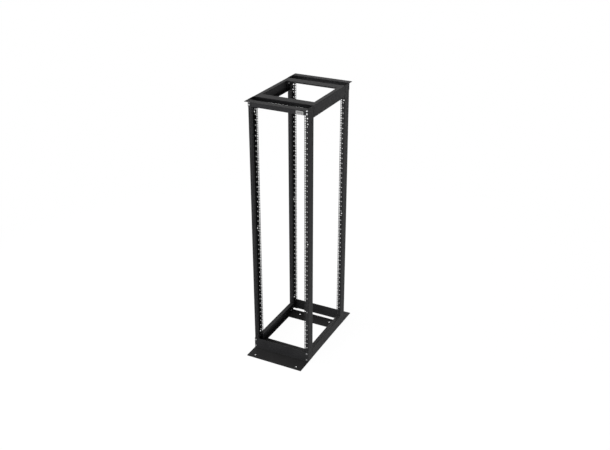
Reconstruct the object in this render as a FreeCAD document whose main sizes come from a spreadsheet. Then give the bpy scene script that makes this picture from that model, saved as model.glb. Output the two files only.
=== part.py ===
import FreeCAD, Part
import os
import Sketcher
from FreeCAD import Vector

# A four post open frame equipment rack.
# Millimetres, +Z up, the floor at z = 0, the front at -Y, the middle of the rack at x = 0 and y = 0.
# Two ladders of two channel posts each, held apart by four side channels,
# stand on wide base angles and are closed by lipped angles at the top.

document = FreeCAD.newDocument("rack")
sizes = document.addObject("Spreadsheet::Sheet", "Sizes")

# The driving dimensions, one cell each: name, value, what it is.
SIZES = [
    ("sheet", "3", "steel sheet of posts, channels, angles and clips, and the outside radius of its folds"),
    ("foot_plate", "4.8", "thicker plate of the two outer base angles"),
    ("opening_width", "450.85", "clear width between facing post flanges"),
    ("flange_width", "38.1", "width of each post flange, outside of the web included"),
    ("post_depth", "84.55", "depth of one post from outer to inner flange face"),
    ("frame_depth", "745.8", "distance between the outer flange faces of front and rear posts"),
    ("unit_height", "44.45", "height of one rack unit"),
    ("unit_count", "48", "number of rack units"),
    ("base_height", "101.6", "floor to the lowest unit boundary, also the base angle's upright leg"),
    ("top_height", "57.15", "highest unit boundary to the top of the rack"),
    ("hole_edge", "7.125", "middle of the square holes to the free edge of the post flange"),
    ("square_hole", "9.5", "side of a square cage nut hole"),
    ("low_hole", "6.35", "lowest hole of a unit above its boundary"),
    ("middle_hole", "22.225", "middle hole of a unit above its boundary"),
    ("high_hole", "38.1", "highest hole of a unit above its boundary"),
    ("foot_width", "147.6", "outer base angle's foot, from the post outwards"),
    ("foot_anchor_reach", "108.8", "post to the anchor holes of the foot"),
    ("foot_anchor_inset", "24.925", "anchor hole of a foot to the side of the clear opening"),
    ("anchor_hole", "15.9", "diameter of every floor anchor hole"),
    ("tie_reach", "85.2", "base tie plate from the inner flange face towards the middle"),
    ("tie_overlap", "53.2", "base tie plate from the inner flange face outwards between the posts"),
    ("tie_anchor_inset", "73.025", "anchor hole of a tie plate to the side of the clear opening"),
    ("post_clearance", "1", "gap between a tie plate and the post around it"),
    ("top_leg", "57.15", "both legs of the outer top angle"),
    ("top_inner_leg", "83.4", "level leg of the inner top angle"),
    ("top_inner_drop", "31.75", "upright leg of the inner top angle"),
    ("lip", "11", "turned down lip on the free edge of a top angle, its full height"),
    ("side_height", "96.5", "height of a side channel"),
    ("side_flange", "35.7", "flange of a side channel, outside of the web included"),
    ("clip_leg", "28", "each leg of a joining clip"),
    ("clip_gap", "1.75", "top joining clip to the inner top angle above it"),
]

for row, (name, value, meaning) in enumerate(SIZES, start=1):
    sizes.set("A%d" % row, name)
    sizes.set("B%d" % row, value)
    sizes.set("C%d" % row, meaning)
    sizes.setAlias("B%d" % row, name)

# Lengths that follow from the ones above.
DERIVED = [
    ("rack_width", "=opening_width + 2 * flange_width"),
    ("rack_height", "=base_height + unit_count * unit_height + top_height"),
    ("half_width", "=rack_width / 2"),
    ("half_depth", "=frame_depth / 2"),
    ("inner_depth", "=half_depth - post_depth"),
    ("hole_inset", "=flange_width - hole_edge"),
    ("side_inner_edge", "=half_width - side_flange"),
    ("tie_narrow", "=opening_width / 2 - post_clearance"),
    ("tie_inside", "=half_width - sheet - post_clearance"),
    ("foot_anchor", "=opening_width / 2 - foot_anchor_inset"),
    ("tie_anchor", "=opening_width / 2 - tie_anchor_inset"),
    ("clip_height", "=side_height - sheet - top_inner_drop - clip_gap"),
]
for row, (name, formula) in enumerate(DERIVED, start=len(SIZES) + 2):
    sizes.set("A%d" % row, name)
    sizes.set("B%d" % row, formula)
    sizes.setAlias("B%d" % row, name)
document.recompute()

ALIASES = sorted([entry[0] for entry in SIZES + DERIVED], key=len, reverse=True)


def sheet_names(text):
    """Puts the sheet's name in front of every alias of an expression."""
    words = []
    word = ""
    for letter in text + " ":
        if letter.isalnum() or letter == "_":
            word += letter
            continue
        words.append("Sizes." + word if word in ALIASES else word)
        words.append(letter)
        word = ""
    return "".join(words).strip()


def number(text):
    """The present value of an expression, in millimetres."""
    value = sizes.evalExpression(sheet_names(text))
    return float(getattr(value, "Value", value))


def body_named(name, x, y, z):
    """A body of its own whose placement follows three expressions."""
    body = document.addObject("PartDesign::Body", name)
    body.Label = name
    body.setExpression("Placement.Base.x", sheet_names(x))
    body.setExpression("Placement.Base.y", sheet_names(y))
    body.setExpression("Placement.Base.z", sheet_names(z))
    return body


def sketch_on(body, name, role):
    """An empty sketch on one of the body's own origin planes."""
    planes = [feature for feature in body.Origin.OriginFeatures if feature.Role == role]
    sketch = body.newObject("Sketcher::SketchObject", name)
    sketch.AttachmentSupport = [(planes[0], "")]
    sketch.MapMode = "FlatFace"
    return sketch


def fix_value(sketch, constraint, expression):
    index = sketch.addConstraint(constraint)
    sketch.setExpression("Constraints[%d]" % index, sheet_names(expression))


def add_outline(sketch, corners):
    """A closed outline whose every corner is placed by two expressions."""
    places = [Vector(number(x), number(y), 0) for x, y in corners]
    count = len(corners)
    first = sketch.GeometryCount
    for step in range(count):
        sketch.addGeometry(Part.LineSegment(places[step], places[(step + 1) % count]), False)
    for step in range(count):
        follower = first + (step + 1) % count
        sketch.addConstraint(Sketcher.Constraint("Coincident", first + step, 2, follower, 1))
    for step, (x, y) in enumerate(corners):
        place = places[step]
        fix_value(sketch, Sketcher.Constraint("DistanceX", -1, 1, first + step, 1, place.x), x)
        fix_value(sketch, Sketcher.Constraint("DistanceY", -1, 1, first + step, 1, place.y), y)


def add_circle(sketch, x, y, diameter):
    place = Vector(number(x), number(y), 0)
    index = sketch.addGeometry(Part.Circle(place, Vector(0, 0, 1), number(diameter) / 2), False)
    fix_value(sketch, Sketcher.Constraint("DistanceX", -1, 1, index, 3, place.x), x)
    fix_value(sketch, Sketcher.Constraint("DistanceY", -1, 1, index, 3, place.y), y)
    fix_value(sketch, Sketcher.Constraint("Diameter", index, number(diameter)), diameter)


def pad(body, name, sketch, length, both_ways=False):
    feature = body.newObject("PartDesign::Pad", name)
    feature.Profile = sketch
    feature.setExpression("Length", sheet_names(length))
    feature.Midplane = both_ways
    document.recompute()
    return feature


def pocket_both_ways(body, name, sketch, length):
    """Cuts the sketch to both sides of its plane, length in all, and must remove something."""
    before = body.Tip.Shape.Volume
    feature = body.newObject("PartDesign::Pocket", name)
    feature.Profile = sketch
    feature.setExpression("Length", sheet_names(length))
    feature.Midplane = True
    document.recompute()
    if not feature.Shape.Volume < before - 1:
        raise RuntimeError("the pocket %s removes nothing" % name)
    return feature


def edges_along(feature, direction, places, first_axis, second_axis):
    """Names of the straight edges along a direction that pass through the given places."""
    names = []
    for number_of_edge, edge in enumerate(feature.Shape.Edges, start=1):
        if edge.Curve.TypeId != "Part::GeomLine":
            continue
        if abs(edge.tangentAt(edge.FirstParameter).dot(direction)) < 0.999:
            continue
        point = edge.Vertexes[0].Point
        here = (getattr(point, first_axis), getattr(point, second_axis))
        for place in places:
            if abs(here[0] - place[0]) < 0.01 and abs(here[1] - place[1]) < 0.01:
                names.append("Edge%d" % number_of_edge)
    return names


def round_edges(body, name, direction, axes, places, radius):
    """Rounds edges along a direction, found by where they pass."""
    base = body.Tip
    spots = [(number(a), number(b)) for a, b in places]
    names = edges_along(base, direction, spots, axes[0], axes[1])
    if len(names) < len(spots):
        raise RuntimeError("%s finds %d edges of %d" % (name, len(names), len(spots)))
    feature = body.newObject("PartDesign::Fillet", name)
    feature.Base = (base, names)
    feature.setExpression("Radius", sheet_names(radius))
    document.recompute()
    return feature


def signed(sign, expression):
    return expression if sign > 0 else "-(" + expression + ")"


ALONG_X = Vector(1, 0, 0)
ALONG_Y = Vector(0, 1, 0)
ALONG_Z = Vector(0, 0, 1)


def make_post(name, side, end):
    """One channel post: web outside, two flanges towards the opening, holes in the outward flange."""
    body = body_named(name, signed(side, "half_width"), signed(end, "half_depth"), "0 mm")

    def corner(inwards, deep):
        return signed(-side, inwards), signed(-end, deep)

    section = sketch_on(body, name + "_section", "XY_Plane")
    add_outline(section, [
        corner("0", "0"),
        corner("flange_width", "0"),
        corner("flange_width", "sheet"),
        corner("sheet", "sheet"),
        corner("sheet", "post_depth - sheet"),
        corner("flange_width", "post_depth - sheet"),
        corner("flange_width", "post_depth"),
        corner("0", "post_depth"),
    ])
    pad(body, name + "_channel", section, "rack_height")
    folds = [corner("0", "0"), corner("0", "post_depth")]
    round_edges(body, name + "_folds", ALONG_Z, "xy", folds, "sheet")

    # Three square holes make one unit; the pattern repeats the unit up the post.
    unit = sketch_on(body, name + "_unit_holes", "XZ_Plane")
    for height in ("low_hole", "middle_hole", "high_hole"):
        left = signed(-side, "hole_inset") + " - square_hole / 2"
        right = signed(-side, "hole_inset") + " + square_hole / 2"
        low = "base_height + " + height + " - square_hole / 2"
        high = "base_height + " + height + " + square_hole / 2"
        add_outline(unit, [(left, low), (right, low), (right, high), (left, high)])
    cut = pocket_both_ways(body, name + "_unit_cut", unit, "4 * sheet")
    one_unit = body.Tip.Shape.Volume
    pattern = body.newObject("PartDesign::LinearPattern", name + "_units")
    pattern.Originals = [cut]
    pattern.Direction = (unit, ["V_Axis"])
    pattern.Mode = "Spacing"
    pattern.setExpression("Offset", sheet_names("unit_height"))
    pattern.setExpression("Occurrences", sheet_names("unit_count"))
    body.Tip = pattern
    document.recompute()
    if not pattern.Shape.Volume < one_unit - 1:
        raise RuntimeError("the unit pattern of %s adds no holes" % name)


def make_base_angle(name, end):
    """The wide outer foot: an angle outside the posts with two floor anchor holes."""
    body = body_named(name, "0 mm", signed(end, "half_depth"), "0 mm")
    section = sketch_on(body, name + "_section", "YZ_Plane")
    add_outline(section, [
        (signed(end, "0"), "0"),
        (signed(end, "foot_width"), "0"),
        (signed(end, "foot_width"), "foot_plate"),
        (signed(end, "foot_plate"), "foot_plate"),
        (signed(end, "foot_plate"), "base_height"),
        (signed(end, "0"), "base_height"),
    ])
    pad(body, name + "_angle", section, "rack_width", both_ways=True)
    round_edges(body, name + "_fold", ALONG_X, "yz", [(signed(end, "0"), "0")], "foot_plate")
    anchors = sketch_on(body, name + "_anchor_holes", "XY_Plane")
    reach = signed(end, "foot_anchor_reach")
    add_circle(anchors, "foot_anchor", reach, "anchor_hole")
    add_circle(anchors, "-foot_anchor", reach, "anchor_hole")
    pocket_both_ways(body, name + "_anchor_cut", anchors, "4 * foot_plate")


def make_tie_plate(name, end):
    """The flat plate between the side channels, notched around the posts' inner flanges."""
    body = body_named(name, "0 mm", signed(end, "inner_depth"), "0 mm")
    outline = sketch_on(body, name + "_outline", "XY_Plane")
    near = signed(-end, "tie_reach")
    before_flange = signed(-end, "post_clearance")
    behind_flange = signed(end, "sheet + post_clearance")
    far = signed(end, "tie_overlap")
    right_edge = [
        ("side_inner_edge", near),
        ("side_inner_edge", before_flange),
        ("tie_narrow", before_flange),
        ("tie_narrow", behind_flange),
        ("tie_inside", behind_flange),
        ("tie_inside", far),
    ]
    left_edge = [("-" + across, along) for across, along in reversed(right_edge)]
    add_outline(outline, right_edge + left_edge)
    pad(body, name + "_plate", outline, "sheet")
    anchors = sketch_on(body, name + "_anchor_holes", "XY_Plane")
    add_circle(anchors, "tie_anchor", "0", "anchor_hole")
    add_circle(anchors, "-tie_anchor", "0", "anchor_hole")
    pocket_both_ways(body, name + "_anchor_cut", anchors, "4 * sheet")


def make_top_angle(name, end):
    """The outer top angle: level leg outwards with a turned down lip, upright leg on the posts."""
    body = body_named(name, "0 mm", signed(end, "half_depth"), "rack_height")
    section = sketch_on(body, name + "_section", "YZ_Plane")
    add_outline(section, [
        (signed(end, "0"), "0"),
        (signed(end, "top_leg"), "0"),
        (signed(end, "top_leg"), "-lip"),
        (signed(end, "top_leg - sheet"), "-lip"),
        (signed(end, "top_leg - sheet"), "-sheet"),
        (signed(end, "sheet"), "-sheet"),
        (signed(end, "sheet"), "-top_leg"),
        (signed(end, "0"), "-top_leg"),
    ])
    pad(body, name + "_angle", section, "rack_width", both_ways=True)
    folds = [(signed(end, "0"), "0"), (signed(end, "top_leg"), "0")]
    round_edges(body, name + "_folds", ALONG_X, "yz", folds, "sheet")


def make_top_inner_angle(name, end):
    """The inner top angle: its level leg and lip are notched for the side channels' top flanges."""
    body = body_named(name, "0 mm", signed(end, "inner_depth"), "rack_height")
    section = sketch_on(body, name + "_section", "YZ_Plane")
    add_outline(section, [
        (signed(-end, "0"), "0"),
        (signed(-end, "top_inner_leg"), "0"),
        (signed(-end, "top_inner_leg"), "-lip"),
        (signed(-end, "top_inner_leg - sheet"), "-lip"),
        (signed(-end, "top_inner_leg - sheet"), "-sheet"),
        (signed(-end, "sheet"), "-sheet"),
        (signed(-end, "sheet"), "-top_inner_drop"),
        (signed(-end, "0"), "-top_inner_drop"),
    ])
    pad(body, name + "_angle", section, "rack_width - 2 * sheet", both_ways=True)
    folds = [(signed(-end, "0"), "0"), (signed(-end, "top_inner_leg"), "0")]
    round_edges(body, name + "_folds", ALONG_X, "yz", folds, "sheet")
    notches = sketch_on(body, name + "_end_notches", "XY_Plane")
    near = signed(-end, "sheet")
    far = signed(-end, "top_inner_leg + sheet")
    for left, right in (("side_inner_edge", "half_width"), ("-half_width", "-side_inner_edge")):
        add_outline(notches, [(left, near), (right, near), (right, far), (left, far)])
    pocket_both_ways(body, name + "_end_cut", notches, "4 * lip")


def make_side_channel(name, side, floor_level, half_length):
    """A side channel between the posts: web outside, flanges towards the middle."""
    body = body_named(name, signed(side, "half_width"), "0 mm", floor_level)
    section = sketch_on(body, name + "_section", "XZ_Plane")

    def corner(inwards, up):
        return signed(-side, inwards), up

    add_outline(section, [
        corner("0", "0"),
        corner("side_flange", "0"),
        corner("side_flange", "sheet"),
        corner("sheet", "sheet"),
        corner("sheet", "side_height - sheet"),
        corner("side_flange", "side_height - sheet"),
        corner("side_flange", "side_height"),
        corner("0", "side_height"),
    ])
    pad(body, name + "_channel", section, "2 * (" + half_length + ")", both_ways=True)
    folds = [corner("0", "0"), corner("0", "side_height")]
    round_edges(body, name + "_folds", ALONG_Y, "xz", folds, "sheet")


def make_clip(name, side, end, floor_level):
    """A joining clip in the end of a side channel: one leg on the web, one on the post's flange."""
    where_x = signed(side, "half_width - sheet")
    where_y = signed(end, "inner_depth")
    body = body_named(name, where_x, where_y, floor_level)

    def corner(inwards, deep):
        return signed(-side, inwards), signed(-end, deep)

    section = sketch_on(body, name + "_section", "XY_Plane")
    add_outline(section, [
        corner("0", "0"),
        corner("clip_leg", "0"),
        corner("clip_leg", "sheet"),
        corner("sheet", "sheet"),
        corner("sheet", "clip_leg"),
        corner("0", "clip_leg"),
    ])
    pad(body, name + "_angle", section, "clip_height")


SIDES = (("left", -1), ("right", 1))
ENDS = (("front", -1), ("rear", 1))

for end_name, end in ENDS:
    for side_name, side in SIDES:
        make_post("post_" + end_name + "_" + side_name, side, end)
    make_base_angle("base_angle_" + end_name, end)
    make_tie_plate("base_tie_plate_" + end_name, end)
    make_top_angle("top_angle_" + end_name, end)
    make_top_inner_angle("top_inner_angle_" + end_name, end)

TOP_LEVEL = "rack_height - side_height"
for side_name, side in SIDES:
    make_side_channel("side_channel_base_" + side_name, side, "0 mm", "inner_depth")
    make_side_channel("side_channel_top_" + side_name, side, TOP_LEVEL, "inner_depth - sheet")
    for end_name, end in ENDS:
        place = "_" + end_name + "_" + side_name
        make_clip("clip_base" + place, side, end, "sheet")
        make_clip("clip_top" + place, side, end, TOP_LEVEL + " + sheet")

document.recompute()

bodies = [item for item in document.Objects if item.TypeId == "PartDesign::Body"]
for item in document.Objects:
    if "Invalid" in item.State or "Error" in item.State:
        raise RuntimeError("%s is in state %s" % (item.Name, item.State))
for body in bodies:
    if body.Shape.isNull() or not body.Shape.isValid() or len(body.Shape.Solids) != 1:
        raise RuntimeError("the body %s is not one valid solid" % body.Label)

os.makedirs("parts", exist_ok=True)
for body in bodies:
    body.Shape.exportStep("parts/%s.step" % body.Label)
    box = body.Shape.BoundBox
    print("%-30s %8.1f %8.1f %8.1f  %8.1f %8.1f %8.1f" % (
        body.Label, box.XMin, box.YMin, box.ZMin, box.XMax, box.YMax, box.ZMax))
print("bodies", len(bodies))
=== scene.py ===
import math
import random
import bpy
import bmesh
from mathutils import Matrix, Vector
from mathutils.geometry import delaunay_2d_cdt


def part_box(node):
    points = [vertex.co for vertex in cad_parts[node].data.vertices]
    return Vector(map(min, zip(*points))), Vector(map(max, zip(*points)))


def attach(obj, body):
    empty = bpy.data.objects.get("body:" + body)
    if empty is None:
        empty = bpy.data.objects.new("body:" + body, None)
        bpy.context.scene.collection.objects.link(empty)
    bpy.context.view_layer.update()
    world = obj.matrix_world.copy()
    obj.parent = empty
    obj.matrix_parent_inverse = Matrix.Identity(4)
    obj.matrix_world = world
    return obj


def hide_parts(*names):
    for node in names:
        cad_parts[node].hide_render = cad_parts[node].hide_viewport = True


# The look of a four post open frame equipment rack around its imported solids.
# +Z is up and the front is at -Y. Sizes and places on the rack are in millimetres and turned into metres
# where used. The stage and the lamps are in metres.

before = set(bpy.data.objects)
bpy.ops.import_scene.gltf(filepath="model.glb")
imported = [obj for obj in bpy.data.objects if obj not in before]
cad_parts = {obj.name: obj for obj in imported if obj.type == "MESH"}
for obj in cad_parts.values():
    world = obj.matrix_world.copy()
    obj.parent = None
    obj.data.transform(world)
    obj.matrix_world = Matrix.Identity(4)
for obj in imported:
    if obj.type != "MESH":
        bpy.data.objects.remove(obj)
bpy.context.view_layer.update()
MM = 0.001
SIDES = (("left", -1), ("right", 1))
ENDS = (("front", -1), ("rear", 1))

# Sizes that the frame tells: a post's outer corner, width and depth, the rack's height and the foot's.
post_low, post_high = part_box("post_front_left")
HALF_WIDTH = -post_low[0] / MM
HALF_DEPTH = -post_low[1] / MM
FLANGE = (post_high[0] - post_low[0]) / MM
POST_DEPTH = (post_high[1] - post_low[1]) / MM
HEIGHT = post_high[2] / MM
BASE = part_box("base_angle_front")[1][2] / MM
INNER_DEPTH = HALF_DEPTH - POST_DEPTH

# The 19 inch standard: one unit's height, its three square holes and their distance from the rack's middle.
UNIT = 44.45
UNITS = 48
UNIT_HOLES = (6.35, 22.225, 38.1)
SQUARE = 9.5
SQUARE_ACROSS = 232.55

# Round holes of the posts, with their distance from the rack's middle: small ones at every unit boundary,
# larger fixing holes in flanges and web in the middle of three units, and one more near each end of a post.
# Units are counted from 0, so that -1 is one unit's height below the first.
PILOT_DIAMETER = 7.9
PILOT_ACROSS = 249.0
PILOT_SIDES = 10
FIXING_DIAMETER = 10.6
FIXING_ACROSS = 254.5
FIXING_UNITS = (0, UNITS // 2 - 1, UNITS - 2)
END_HOLE_DIAMETER = 12.0
END_HOLE_ACROSS = 250.5
END_HOLE_UNITS = (-1, UNITS - 1)
LARGE_HOLE_SIDES = 20

# Steel sheet, its bends with their steps in a quarter turn, and the round that the paint's shading gives
# every cut edge.
SHEET = 3.0
FOOT_PLATE = 4.8
BEND_OUTSIDE = 3.6
BEND_INSIDE = BEND_OUTSIDE - SHEET
BEND_STEPS = 6
EDGE_ROUND = 0.6
EDGE_SAMPLES = 4

# Bolts with washers and low press nuts. A chamfer draws in by its height times the slope.
HEAD_ACROSS_FLATS = 13.0
HEAD_HEIGHT = 5.3
HEAD_CHAMFER = 0.8
WASHER_RADIUS = 8.0
WASHER_HEIGHT = 1.4
THREAD_RADIUS = 4.0
THREAD_PROUD = 0.8
THREAD_CHAMFER = 0.4
PRESS_NUT_RADIUS = 6.0
PRESS_NUT_HEIGHT = 1.2
PRESS_NUT_CHAMFER = 0.3
CHAMFER_SLOPE = 1.4

# Where the bolts are: their distance from the rack's middle and their heights.
BOLT_ACROSS = 251.0
CLIP_BOLT_ACROSS = 247.5
FOOT_BOLTS = (25.0, 86.0)
TOP_BOLTS = (HEIGHT - 41.0, HEIGHT - 16.5)
INNER_TOP_BOLT = HEIGHT - 17.5
CLIP_BOLTS = (22.0, HEIGHT - 44.0)

# The bare label on the front top angle: its outline, a rim, and a field inside the rim.
LABEL_LEFT = 154.0
LABEL_RIGHT = 218.0
LABEL_LOW = HEIGHT - 53.85
LABEL_HIGH = HEIGHT - 28.35
LABEL_THICKNESS = 0.6
LABEL_CORNER = 4.0
LABEL_RIM = 5.0
LABEL_FIELD_CORNER = 1.5
CORNER_STEPS = 6

# Colours and grey tones in linear light, and how far cloudy patterns change them.
PAINT = (0.021, 0.021, 0.022)
CLOUD_DARKER = 0.86
CLOUD_PALER = 1.14
CLOUD_SMOOTHER = 0.06
CLOUD_ROUGHER = 0.08
PATTERN_SHIFT = (1.7, 0.9, 2.3)
DUST = (0.22, 0.21, 0.20)
DUST_SHARE = 0.10
ZINC_DARK = (0.23, 0.235, 0.24)
ZINC_PALE = (0.37, 0.37, 0.365)
LABEL_RIM_TONE = 0.30
LABEL_FIELD_TONE = 0.13
LABEL_DARKER = (0.88, 0.88, 0.87)
LABEL_PALER = (1.12, 1.12, 1.11)


def scaled(parts, share):
    """Each part of a colour or a place multiplied by a share."""
    return tuple(share * part for part in parts)


def new_material(name):
    """A new material with its nodes, its links and its shader."""
    material = bpy.data.materials.new(name)
    material.use_nodes = True
    nodes = material.node_tree.nodes
    return material, nodes, material.node_tree.links, nodes["Principled BSDF"]


def add_noise(nodes, links, place, scale, detail):
    """A cloudy pattern over the places that a socket gives."""
    noise = nodes.new("ShaderNodeTexNoise")
    noise.inputs["Scale"].default_value = scale
    noise.inputs["Detail"].default_value = detail
    links.new(place, noise.inputs["Vector"])
    return noise.outputs["Fac"]


def add_ramp(nodes, links, amount, dark, pale, low=0.0, high=1.0):
    """A colour that goes from dark to pale while the amount goes from low to high."""
    ramp = nodes.new("ShaderNodeValToRGB")
    first, last = ramp.color_ramp.elements
    first.position = low
    first.color = dark + (1.0,)
    last.position = high
    last.color = pale + (1.0,)
    links.new(amount, ramp.inputs["Fac"])
    return ramp.outputs["Color"]


def add_range(nodes, links, amount, low, high):
    """An amount from 0 to 1 turned into one from low to high."""
    spread = nodes.new("ShaderNodeMapRange")
    spread.inputs["To Min"].default_value = low
    spread.inputs["To Max"].default_value = high
    links.new(amount, spread.inputs["Value"])
    return spread.outputs["Result"]


def add_math(nodes, links, operation, *terms, clamp=False):
    """The result of an operation on terms that are numbers or sockets."""
    step = nodes.new("ShaderNodeMath")
    step.operation = operation
    step.use_clamp = clamp
    for entry, term in zip(step.inputs, terms):
        if isinstance(term, float):
            entry.default_value = term
        else:
            links.new(term, entry)
    return step.outputs[0]


def add_bump(nodes, links, height, shader, strength, depth):
    """A shader's surface roughened by a height pattern of a depth in millimetres."""
    bump = nodes.new("ShaderNodeBump")
    bump.inputs["Strength"].default_value = strength
    bump.inputs["Distance"].default_value = depth * MM
    links.new(height, bump.inputs["Height"])
    links.new(bump.outputs["Normal"], shader.inputs["Normal"])
    return bump


def powder_coat(name, colour, roughness, seed):
    """Black powder coat: fine orange peel, faint cloudiness and slightly dusty upward faces."""
    material, nodes, links, shader = new_material(name)
    object_place = nodes.new("ShaderNodeTexCoord").outputs["Object"]
    shift = nodes.new("ShaderNodeVectorMath")
    shift.operation = "ADD"
    shift.inputs[1].default_value = scaled(PATTERN_SHIFT, seed)
    links.new(object_place, shift.inputs[0])
    place = shift.outputs[0]

    cloud = add_noise(nodes, links, place, scale=7.0, detail=5.0)
    darker = scaled(colour, CLOUD_DARKER)
    paler = scaled(colour, CLOUD_PALER)
    tint = add_ramp(nodes, links, cloud, darker, paler, low=0.3, high=0.7)
    gloss = add_range(nodes, links, cloud, low=roughness - CLOUD_SMOOTHER, high=roughness + CLOUD_ROUGHER)
    links.new(gloss, shader.inputs["Roughness"])
    shader.inputs["Specular IOR Level"].default_value = 0.05

    surface = nodes.new("ShaderNodeNewGeometry")
    direction = nodes.new("ShaderNodeSeparateXYZ")
    links.new(surface.outputs["Normal"], direction.inputs[0])
    specks = add_noise(nodes, links, place, scale=260.0, detail=3.0)
    settled = add_math(nodes, links, "MULTIPLY", direction.outputs["Z"], specks, clamp=True)
    thin = add_math(nodes, links, "MULTIPLY", settled, DUST_SHARE)
    dust = nodes.new("ShaderNodeMix")
    dust.data_type = "RGBA"
    dust.inputs["B"].default_value = DUST + (1.0,)
    links.new(thin, dust.inputs["Factor"])
    links.new(tint, dust.inputs["A"])
    links.new(dust.outputs["Result"], shader.inputs["Base Color"])

    peel = add_noise(nodes, links, place, scale=620.0, detail=2.0)
    bump = add_bump(nodes, links, peel, shader, strength=0.35, depth=0.25)
    rounded = nodes.new("ShaderNodeBevel")
    rounded.samples = EDGE_SAMPLES
    rounded.inputs["Radius"].default_value = EDGE_ROUND * MM
    links.new(rounded.outputs["Normal"], bump.inputs["Normal"])
    return material


def zinc_plate(name):
    """Clear zinc plating on fasteners, with a cloudy grain in its colour, gloss and surface."""
    material, nodes, links, shader = new_material(name)
    place = nodes.new("ShaderNodeTexCoord").outputs["Object"]
    grain = add_noise(nodes, links, place, scale=420.0, detail=4.0)
    tint = add_ramp(nodes, links, grain, ZINC_DARK, ZINC_PALE)
    links.new(tint, shader.inputs["Base Color"])
    gloss = add_range(nodes, links, grain, low=0.32, high=0.55)
    links.new(gloss, shader.inputs["Roughness"])
    add_bump(nodes, links, grain, shader, strength=0.2, depth=0.1)
    shader.inputs["Metallic"].default_value = 0.85
    return material


def label_face(name, tone):
    """Satin label foil in one grey tone with a faint mottling."""
    material, nodes, links, shader = new_material(name)
    place = nodes.new("ShaderNodeTexCoord").outputs["Object"]
    mottle = add_noise(nodes, links, place, scale=90.0, detail=3.0)
    tint = add_ramp(nodes, links, mottle, scaled(LABEL_DARKER, tone), scaled(LABEL_PALER, tone))
    links.new(tint, shader.inputs["Base Color"])
    add_bump(nodes, links, mottle, shader, strength=0.15, depth=0.1)
    shader.inputs["Roughness"].default_value = 0.38
    return material


POST_COAT = powder_coat("post_powder_coat", PAINT, roughness=0.46, seed=1)
FOOT_COAT = powder_coat("foot_powder_coat", PAINT, roughness=0.50, seed=2)
TOP_COAT = powder_coat("top_powder_coat", PAINT, roughness=0.46, seed=3)
SIDE_COAT = powder_coat("side_powder_coat", PAINT, roughness=0.46, seed=4)
CLIP_COAT = powder_coat("clip_powder_coat", PAINT, roughness=0.52, seed=5)
ZINC = zinc_plate("zinc_plate")
LABEL_RIM_FOIL = label_face("label_rim_foil", LABEL_RIM_TONE)
LABEL_FIELD_FOIL = label_face("label_field_foil", LABEL_FIELD_TONE)


def add_piece(name, mesh_data, *materials):
    """A piece of the rack's one body, with its materials in the order of its faces' material numbers."""
    piece = bpy.data.objects.new(name, mesh_data)
    bpy.context.scene.collection.objects.link(piece)
    for material in materials:
        piece.data.materials.append(material)
    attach(piece, "root")
    return piece


def finished_mesh(mesh, name):
    """The mesh data of a closed mesh, with every face looking outwards."""
    bmesh.ops.recalc_face_normals(mesh, faces=mesh.faces)
    data = bpy.data.meshes.new(name)
    mesh.to_mesh(data)
    mesh.free()
    return data


def join_rings(mesh, first, second):
    """The band of faces between two closed rings of vertices."""
    band = []
    for step in range(len(first)):
        after = (step + 1) % len(first)
        band.append(mesh.faces.new([first[step], first[after], second[after], second[step]]))
    return band


def circle_points(across, up, diameter, sides):
    """A closed ring of points round a place on a flat."""
    ring = []
    for step in range(sides):
        turn = 2 * math.pi * (step + 0.5) / sides
        ring.append((across + diameter / 2 * math.cos(turn), up + diameter / 2 * math.sin(turn)))
    return ring


def square_points(across, up, side):
    """The corners of a square round a place on a flat."""
    half = side / 2
    return [(across - half, up - half), (across + half, up - half),
            (across + half, up + half), (across - half, up + half)]


def unit_middle(unit):
    """The height of the middle of a unit."""
    return BASE + (unit + 0.5) * UNIT


def flange_holes():
    """Every hole of one flange as a ring of (distance from the web's outside, height)."""
    rings = []
    inset = HALF_WIDTH - SQUARE_ACROSS
    for unit in range(UNITS):
        for height in UNIT_HOLES:
            rings.append(square_points(inset, BASE + unit * UNIT + height, SQUARE))
    inset = HALF_WIDTH - PILOT_ACROSS
    for boundary in range(UNITS + 1):
        rings.append(circle_points(inset, BASE + boundary * UNIT, PILOT_DIAMETER, PILOT_SIDES))
    inset = HALF_WIDTH - FIXING_ACROSS
    for unit in FIXING_UNITS:
        rings.append(circle_points(inset, unit_middle(unit), FIXING_DIAMETER, LARGE_HOLE_SIDES))
    inset = HALF_WIDTH - END_HOLE_ACROSS
    for unit in END_HOLE_UNITS:
        rings.append(circle_points(inset, unit_middle(unit), END_HOLE_DIAMETER, LARGE_HOLE_SIDES))
    return rings


def web_holes():
    """The fixing holes in the middle of the web as rings of (depth from the outer flange, height)."""
    rings = []
    for unit in FIXING_UNITS:
        rings.append(circle_points(POST_DEPTH / 2, unit_middle(unit), FIXING_DIAMETER, LARGE_HOLE_SIDES))
    return rings


def perforated_sheet(low, high, rings):
    """The points and the triangles of a flat rectangle with holes."""
    outline = [(low[0], low[1]), (high[0], low[1]), (high[0], high[1]), (low[0], high[1])]
    points = []
    owners = []
    edges = []
    for owner, ring in enumerate([outline] + rings):
        first = len(points)
        points.extend(Vector(point) for point in ring)
        owners.extend([owner] * len(ring))
        for step in range(len(ring)):
            edges.append((first + step, first + (step + 1) % len(ring)))
    whole_hull = 0
    merge_distance = 1e-4
    spots, _, faces, sources, _, _ = delaunay_2d_cdt(points, edges, [], whole_hull, merge_distance)

    # A triangle with all its corners on one ring fills that hole, and is left out.
    triangles = []
    for triangle in faces:
        rings_met = {owners[sources[index][0]] for index in triangle}
        if len(rings_met) > 1:
            triangles.append(tuple(triangle))
    return [tuple(spot) for spot in spots], triangles


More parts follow.
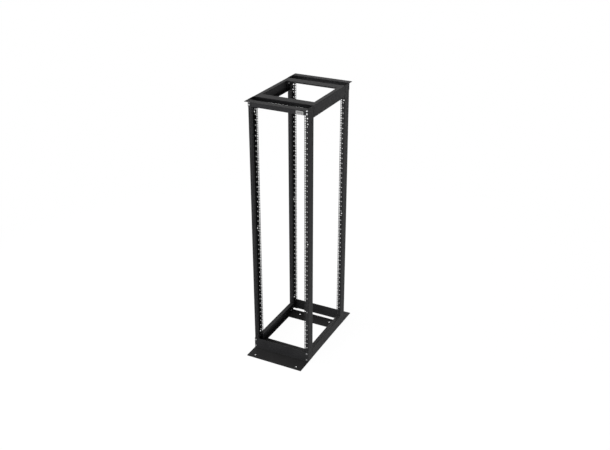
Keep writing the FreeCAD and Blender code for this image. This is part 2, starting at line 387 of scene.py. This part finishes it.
def post_faces(mesh, side, end):
    """A function that adds a face to a post's mesh and shares the corners where faces meet.

    A corner is its distance inwards from the web's outside, its depth from the outer flange and its height.
    """
    known = {}

    def vertex(inwards, deep, up):
        key = (round(inwards, 3), round(deep, 3), round(up, 3))
        if key not in known:
            place = (side * (HALF_WIDTH - inwards), end * (HALF_DEPTH - deep), up)
            known[key] = mesh.verts.new(Vector(place) * MM)
        return known[key]

    def face(*corners):
        mesh.faces.new([vertex(*corner) for corner in corners])

    return face


def flange_corner(spot, deep):
    """A corner of a face on a flange, from its spot on the flat and the flat's depth."""
    return (spot[0], deep, spot[1])


def web_corner(spot, inwards):
    """A corner of a face on the web, from its spot on the flat and the flat's distance inwards."""
    return (inwards, spot[0], spot[1])


def add_flat(face, sheet, rings, corner, near, far):
    """A perforated flat of a post between two levels: both its sides and the walls of its holes."""
    points, triangles = sheet
    for level in (near, far):
        for triangle in triangles:
            face(*[corner(points[index], level) for index in triangle])
    for ring in rings:
        for here, there in zip(ring, ring[1:] + ring[:1]):
            face(corner(here, near), corner(there, near), corner(there, far), corner(here, far))


def add_bend(outside, inside, centre, start):
    """A quarter bend, clockwise from a start in degrees, added to the outside and the inside path."""
    for step in range(BEND_STEPS + 1):
        turn = math.radians(start - 90.0 * step / BEND_STEPS)
        for path, radius in ((outside, BEND_OUTSIDE), (inside, BEND_INSIDE)):
            path.append((centre[0] + radius * math.cos(turn), centre[1] + radius * math.sin(turn)))


def post_section():
    """The outside and the inside of a post's section, each as one path from flange to flange."""
    outside = [(FLANGE, 0.0)]
    inside = [(FLANGE, SHEET)]
    add_bend(outside, inside, (BEND_OUTSIDE, BEND_OUTSIDE), -90.0)
    add_bend(outside, inside, (BEND_OUTSIDE, POST_DEPTH - BEND_OUTSIDE), -180.0)
    outside.append((FLANGE, POST_DEPTH))
    inside.append((FLANGE, POST_DEPTH - SHEET))
    return outside, inside


def post_mesh(name, side, end):
    """A bent channel, perforated in both flanges and the web."""
    mesh = bmesh.new()
    face = post_faces(mesh, side, end)

    rings = flange_holes()
    sheet = perforated_sheet((BEND_OUTSIDE, 0.0), (FLANGE, HEIGHT), rings)
    for near, far in ((0.0, SHEET), (POST_DEPTH, POST_DEPTH - SHEET)):
        add_flat(face, sheet, rings, flange_corner, near, far)
        face((FLANGE, near, 0.0), (FLANGE, far, 0.0), (FLANGE, far, HEIGHT), (FLANGE, near, HEIGHT))

    rings = web_holes()
    sheet = perforated_sheet((BEND_OUTSIDE, 0.0), (POST_DEPTH - BEND_OUTSIDE, HEIGHT), rings)
    add_flat(face, sheet, rings, web_corner, 0.0, SHEET)

    # The bends' curved sides, without the flats between them, and then the sheet's section at both ends.
    outside, inside = post_section()
    flats = (0, BEND_STEPS + 1, 2 * BEND_STEPS + 2)
    for path in (outside, inside):
        for step, (here, there) in enumerate(zip(path, path[1:])):
            if step not in flats:
                face(here + (0.0,), there + (0.0,), there + (HEIGHT,), here + (HEIGHT,))
    for up in (0.0, HEIGHT):
        for step in range(len(outside) - 1):
            face(outside[step] + (up,), outside[step + 1] + (up,),
                 inside[step + 1] + (up,), inside[step] + (up,))
    return finished_mesh(mesh, name)


def top_angle_mesh(name, end):
    """A plain bent angle without a lip: one leg against the posts and one level leg standing outwards."""
    low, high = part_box("top_angle_front")
    reach = -low[1] / MM
    lower_edge = low[2] / MM
    outside = [(HALF_DEPTH, lower_edge)]
    inside = [(HALF_DEPTH + SHEET, lower_edge)]
    add_bend(outside, inside, (HALF_DEPTH + BEND_OUTSIDE, HEIGHT - BEND_OUTSIDE), 180.0)
    outside.append((reach, HEIGHT))
    inside.append((reach, HEIGHT - SHEET))
    section = outside + inside[::-1]

    mesh = bmesh.new()
    ends = []
    for across in (low[0] / MM, high[0] / MM):
        ends.append([mesh.verts.new(Vector((across, end * deep, up)) * MM) for deep, up in section])
    join_rings(mesh, ends[0], ends[1])

    # Each end is closed by four sided faces from the outside to the inside, all along the section.
    last = len(section) - 1
    for ring in ends:
        for step in range(len(outside) - 1):
            mesh.faces.new([ring[step], ring[step + 1], ring[last - 1 - step], ring[last - step]])
    return finished_mesh(mesh, name)


def add_disc(mesh, place, outwards, radius, base, thickness, sides, turn=0.0, chamfer=0.0, material=0):
    """A round or six sided disc with its axis along Y, standing outwards from a base above a place."""
    levels = [(radius, base), (radius, base + thickness - chamfer)]
    if chamfer:
        levels.append((radius - chamfer * CHAMFER_SLOPE, base + thickness))
    rings = []
    for reach, height in levels:
        ring = []
        for step in range(sides):
            angle = turn + 2 * math.pi * step / sides
            spot = (place[0] + reach * math.cos(angle),
                    place[1] + outwards * height,
                    place[2] + reach * math.sin(angle))
            ring.append(mesh.verts.new(Vector(spot) * MM))
        rings.append(ring)
    faces = [mesh.faces.new(rings[0]), mesh.faces.new(rings[-1])]
    for lower, upper in zip(rings, rings[1:]):
        faces.extend(join_rings(mesh, lower, upper))
    for face in faces:
        face.material_index = material


def add_bolt(mesh, place, outwards, grip):
    """A hexagon bolt with its washer on one side of a joint, and its low painted press nut on the other."""
    corner_radius = HEAD_ACROSS_FLATS / math.sqrt(3)
    turn = random.uniform(0, math.pi / 3)
    add_disc(mesh, place, outwards, WASHER_RADIUS, 0.0, WASHER_HEIGHT, sides=24)
    add_disc(mesh, place, outwards, corner_radius, WASHER_HEIGHT, HEAD_HEIGHT, sides=6, turn=turn,
             chamfer=HEAD_CHAMFER)
    behind = (place[0], place[1] - outwards * grip, place[2])
    add_disc(mesh, behind, -outwards, PRESS_NUT_RADIUS, 0.0, PRESS_NUT_HEIGHT, sides=24,
             chamfer=PRESS_NUT_CHAMFER, material=1)
    add_disc(mesh, behind, -outwards, THREAD_RADIUS, PRESS_NUT_HEIGHT, THREAD_PROUD, sides=16,
             chamfer=THREAD_CHAMFER, material=1)


def post_bolts(side, end):
    """One post's bolts: the place of each, the way its head looks and the sheet that it grips."""
    foot_face = HALF_DEPTH + FOOT_PLATE
    top_face = HALF_DEPTH + SHEET
    inner_face = INNER_DEPTH - SHEET
    rows = [(BOLT_ACROSS, foot_face, height, 1, FOOT_PLATE + SHEET) for height in FOOT_BOLTS]
    rows += [(BOLT_ACROSS, top_face, height, 1, 2 * SHEET) for height in TOP_BOLTS]
    rows += [(BOLT_ACROSS, inner_face, INNER_TOP_BOLT, -1, 2 * SHEET)]
    rows += [(CLIP_BOLT_ACROSS, inner_face, height, -1, 2 * SHEET) for height in CLIP_BOLTS]
    bolts = []
    for across, deep, height, way, grip in rows:
        bolts.append(((side * across, end * deep, height), end * way, grip))
    return bolts


def bolts_mesh(name, side, end):
    """All the bolts of one post."""
    mesh = bmesh.new()
    for place, outwards, grip in post_bolts(side, end):
        add_bolt(mesh, place, outwards, grip)
    return finished_mesh(mesh, name)


def rounded_rectangle(inset, corner):
    """The label's outline drawn in by an inset, with rounded corners."""
    points = []
    middle_x = (LABEL_LEFT + LABEL_RIGHT) / 2
    middle_z = (LABEL_LOW + LABEL_HIGH) / 2
    reach_x = (LABEL_RIGHT - LABEL_LEFT) / 2 - inset - corner
    reach_z = (LABEL_HIGH - LABEL_LOW) / 2 - inset - corner
    for quarter, (sign_x, sign_z) in enumerate(((1, 1), (-1, 1), (-1, -1), (1, -1))):
        for step in range(CORNER_STEPS + 1):
            turn = math.radians(90 * quarter + 90 * step / CORNER_STEPS)
            points.append((middle_x + sign_x * reach_x + corner * math.cos(turn),
                           middle_z + sign_z * reach_z + corner * math.sin(turn)))
    return points


def label_mesh(name):
    """The label's thin plate: a rim, and a field inside it in the second material."""
    mesh = bmesh.new()
    back_y = -(HALF_DEPTH + SHEET)
    front_y = back_y - LABEL_THICKNESS
    rings = []
    for inset, corner, deep in ((0.0, LABEL_CORNER, back_y), (0.0, LABEL_CORNER, front_y),
                                (LABEL_RIM, LABEL_FIELD_CORNER, front_y)):
        outline = rounded_rectangle(inset, corner)
        rings.append([mesh.verts.new(Vector((x, deep, z)) * MM) for x, z in outline])
    for outer, inner in zip(rings, rings[1:]):
        join_rings(mesh, outer, inner)
    mesh.faces.new(rings[0])
    mesh.faces.new(rings[-1]).material_index = 1
    return finished_mesh(mesh, name)


def make_posts():
    """The posts with all their holes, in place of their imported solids."""
    for end_name, end in ENDS:
        for side_name, side in SIDES:
            node = "post_" + end_name + "_" + side_name
            post = add_piece("perforated_" + node, post_mesh(node, side, end), POST_COAT)
            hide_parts(node)


def make_top_angles():
    """The outer top angles, whose level legs end in the bare edge of the sheet."""
    for end_name, end in ENDS:
        node = "top_angle_" + end_name
        angle = add_piece("plain_" + node, top_angle_mesh(node, end), TOP_COAT)
        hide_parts(node)


def paint_packed_pieces():
    """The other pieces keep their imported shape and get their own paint, with smooth folds."""
    coats = {"base": FOOT_COAT, "top": TOP_COAT, "side": SIDE_COAT, "clip": CLIP_COAT}
    for node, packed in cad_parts.items():
        if node.startswith("post_") or node.startswith("top_angle_"):
            continue
        packed.data.materials.clear()
        packed.data.materials.append(coats[node.split("_")[0]])
        packed.data.polygons.foreach_set("use_smooth", [True] * len(packed.data.polygons))


def make_bolts():
    """The bolts of each post as one piece, every head turned its own way."""
    random.seed(48)
    for end_name, end in ENDS:
        for side_name, side in SIDES:
            name = "bolts_" + end_name + "_" + side_name
            add_piece(name, bolts_mesh(name, side, end), ZINC, POST_COAT)


# The stage, in metres: a wide white floor that keeps the rack's faint shadow, and a white background.
FLOOR_REACH = 30.0
FLOOR_DROP = 0.0005
SHADOW_SHARE = 0.08
SHADOW_LIFT = 0.05
SHADOW_NEAR = 1.5
SHADOW_FAR = 4.0
WORLD_STRENGTH = 0.09
WHITE = (1.0, 1.0, 1.0, 1.0)
FLOOR_WHITE = (0.92, 0.92, 0.92, 1.0)


def white_rays(nodes, links):
    """1 for the rays that show the background: straight to the camera, mirrored or passing through."""
    seen = nodes.new("ShaderNodeLightPath")
    total = seen.outputs["Is Camera Ray"]
    for kind in ("Is Glossy Ray", "Is Transmission Ray"):
        total = add_math(nodes, links, "MAXIMUM", total, seen.outputs[kind])
    return total


def stage_material(name):
    """White glow for the rays that show the background, with a share of lit floor near the rack."""
    material, nodes, links, shader = new_material(name)
    shader.inputs["Base Color"].default_value = FLOOR_WHITE
    shader.inputs["Roughness"].default_value = 0.9
    shader.inputs["Specular IOR Level"].default_value = 0.1

    # The lit share of the floor, and so its shadow, fades out away from the rack.
    place = nodes.new("ShaderNodeTexCoord")
    reach = nodes.new("ShaderNodeVectorMath")
    reach.operation = "LENGTH"
    links.new(place.outputs["Object"], reach.inputs[0])
    near = nodes.new("ShaderNodeMapRange")
    near.interpolation_type = "SMOOTHSTEP"
    near.inputs["From Min"].default_value = SHADOW_NEAR
    near.inputs["From Max"].default_value = SHADOW_FAR
    near.inputs["To Min"].default_value = 1.0
    near.inputs["To Max"].default_value = 0.0
    links.new(reach.outputs["Value"], near.inputs["Value"])
    nearness = near.outputs["Result"]
    strength = add_math(nodes, links, "MULTIPLY_ADD", nearness, SHADOW_LIFT, 1.0)
    glow = nodes.new("ShaderNodeEmission")
    links.new(strength, glow.inputs["Strength"])
    plain = add_math(nodes, links, "MULTIPLY_ADD", nearness, -SHADOW_SHARE, 1.0)
    share = add_math(nodes, links, "MULTIPLY", white_rays(nodes, links), plain)
    mix = nodes.new("ShaderNodeMixShader")
    links.new(share, mix.inputs["Fac"])
    links.new(shader.outputs[0], mix.inputs[1])
    links.new(glow.outputs[0], mix.inputs[2])
    links.new(mix.outputs[0], nodes["Material Output"].inputs["Surface"])
    return material


def make_floor():
    """The floor, just below the rack's feet."""
    mesh = bmesh.new()
    bmesh.ops.create_grid(mesh, x_segments=1, y_segments=1, size=FLOOR_REACH)
    data = bpy.data.meshes.new("floor")
    mesh.to_mesh(data)
    mesh.free()
    floor = bpy.data.objects.new("floor", data)
    floor.location = (0.0, 0.0, -FLOOR_DROP)
    bpy.context.scene.collection.objects.link(floor)
    floor.data.materials.append(stage_material("floor_white"))


def make_world():
    """A weak even light from all round, shown to the camera as plain white."""
    world = bpy.data.worlds.new("studio")
    bpy.context.scene.world = world
    world.use_nodes = True
    nodes = world.node_tree.nodes
    links = world.node_tree.links
    background = nodes["Background"]
    background.inputs["Color"].default_value = WHITE
    background.inputs["Strength"].default_value = WORLD_STRENGTH
    white = nodes.new("ShaderNodeBackground")
    white.inputs["Color"].default_value = WHITE
    white.inputs["Strength"].default_value = 1.0
    mix = nodes.new("ShaderNodeMixShader")
    links.new(white_rays(nodes, links), mix.inputs["Fac"])
    links.new(background.outputs[0], mix.inputs[1])
    links.new(white.outputs[0], mix.inputs[2])
    links.new(mix.outputs[0], nodes["World Output"].inputs["Surface"])


def add_area_light(name, place, target, size, power):
    """A square lamp, its size in metres and its power in watts, turned to a target."""
    lamp = bpy.data.lights.new(name, "AREA")
    lamp.shape = "SQUARE"
    lamp.size = size
    lamp.energy = power
    holder = bpy.data.objects.new(name, lamp)
    holder.location = place
    aim = Vector(target) - Vector(place)
    holder.rotation_euler = aim.to_track_quat("-Z", "Y").to_euler()
    bpy.context.scene.collection.objects.link(holder)


# The photograph's view: the lens in pixels of the photo, the camera's place, its two turns in radians, and
# how many metres it sees.
SENSOR_WIDTH = 36.0
PHOTO_WIDTH = 610.0
FOCAL_PIXELS = 847.369
CAMERA_PLACE = (2960.02, -5816.32, 4295.20)
CAMERA_DOWN = 0.4548
CAMERA_TURN = 0.4647
VIEW_LENGTH = 100.0


def make_camera():
    """A 50 mm lens above and to the right of the front."""
    lens = bpy.data.cameras.new("camera")
    lens.sensor_width = SENSOR_WIDTH
    lens.lens = FOCAL_PIXELS * SENSOR_WIDTH / PHOTO_WIDTH
    lens.clip_end = VIEW_LENGTH
    camera = bpy.data.objects.new("camera", lens)
    camera.location = Vector(CAMERA_PLACE) * MM
    camera.rotation_euler = (math.pi / 2 - CAMERA_DOWN, 0.0, CAMERA_TURN)
    bpy.context.scene.collection.objects.link(camera)
    bpy.context.scene.camera = camera


make_posts()
make_top_angles()
paint_packed_pieces()
make_bolts()
add_piece("label_field", label_mesh("label_field"), LABEL_RIM_FOIL, LABEL_FIELD_FOIL)

make_floor()
make_world()
add_area_light("overhead", place=(0.0, 0.1, 4.4), target=(0.0, 0.1, 2.3), size=0.5, power=19.0)
add_area_light("right_side", place=(5.0, -0.2, 1.3), target=(0.0, 0.0, 1.1), size=3.0, power=48.0)
add_area_light("front", place=(-0.8, -5.6, 1.7), target=(0.0, 0.0, 1.2), size=3.0, power=240.0)
add_area_light("left_side", place=(-5.0, -1.0, 2.0), target=(0.0, 0.0, 1.2), size=3.0, power=195.0)
add_area_light("rear", place=(-0.8, 5.5, 1.0), target=(0.0, 0.0, 1.2), size=3.0, power=125.0)
make_camera()
bpy.context.scene.view_settings.view_transform = "Standard"
